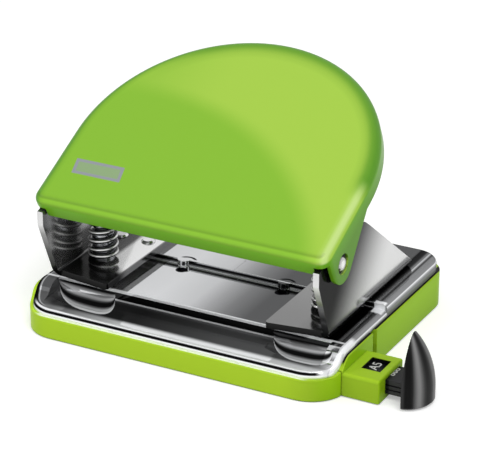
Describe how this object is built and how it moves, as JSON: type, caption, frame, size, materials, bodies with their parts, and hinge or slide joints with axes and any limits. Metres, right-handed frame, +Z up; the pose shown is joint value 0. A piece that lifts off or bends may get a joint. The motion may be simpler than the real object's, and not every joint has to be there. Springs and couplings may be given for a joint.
{
  "type": "two-hole paper punch",
  "caption": "Hand-operated desk punch with a half-oval lever handle, sprung punches, bright steel base, chip tray and pull-out paper guide.",
  "frame": {"origin": "middle of the chip tray's footprint, on the face the punch rests on", "axes": "+Z up, +X to the right of a user in front of the punch, +Y to the rear"},
  "size_m": [0.1365, 0.088, 0.0813],
  "materials": {
    "bright_steel": "bright nickel-plated sheet steel",
    "rivet_steel": "plated steel",
    "tool_steel": "hardened and ground steel",
    "spring_steel": "dark spring steel wire",
    "green_paint": "smooth satin apple-green lacquer",
    "green_plastic": "smooth moulded apple-green plastic",
    "black_plastic": "satin black moulded plastic"
  },
  "bodies": {
    "base": {"base_plate": "bright_steel", "left_bracket": "bright_steel", "right_bracket": "bright_steel", "left_bracket_rivets": "rivet_steel", "right_bracket_rivets": "rivet_steel", "left_die": "tool_steel", "right_die": "tool_steel", "left_guide_bush": "tool_steel", "right_guide_bush": "tool_steel", "left_pivot_pin": "rivet_steel", "right_pivot_pin": "rivet_steel", "guide_housing": "green_plastic"},
    "handle": {"handle_shell": "green_paint", "pressure_frame": "bright_steel", "pressure_bar": "tool_steel", "frame_rivets": "rivet_steel"},
    "left_punch": {"left_punch": "tool_steel", "left_spring_washer": "rivet_steel", "left_spring": "spring_steel"},
    "right_punch": {"right_punch": "tool_steel", "right_spring_washer": "rivet_steel", "right_spring": "spring_steel"},
    "paper_guide": {"guide_rule": "black_plastic", "guide_knob": "black_plastic"},
    "tray": {"chip_tray": "green_plastic"}
  },
  "joints": [
    {"name": "handle_hinge", "type": "hinge", "parent": "base", "child": "handle", "pos_m": [0, -0.0275, 0.0399], "axis": [-1, 0, 0], "range_deg": [0, 26.8], "stiffness_Nm_per_rad": 1.2, "springref_deg": -20.05},
    {"name": "left_punch_slide", "type": "slide", "parent": "base", "child": "left_punch", "axis": [0, 0, -1], "range_m": [0, 0.0061], "deforming": ["left_spring"]},
    {"name": "right_punch_slide", "type": "slide", "parent": "base", "child": "right_punch", "axis": [0, 0, -1], "range_m": [0, 0.0061], "deforming": ["right_spring"]},
    {"name": "paper_guide_slide", "type": "slide", "parent": "base", "child": "paper_guide", "axis": [1, 0, 0], "range_m": [-0.006, 0.031]},
    {"name": "chip_tray_slide", "type": "slide", "parent": "base", "child": "tray", "axis": [0, 0, -1], "range_m": [0, 0.02]}
  ],
  "couplings": [
    {"joint": "left_punch_slide", "follows": "handle_hinge", "m_per_rad": 0.01273},
    {"joint": "right_punch_slide", "follows": "handle_hinge", "m_per_rad": 0.01273}
  ]
}
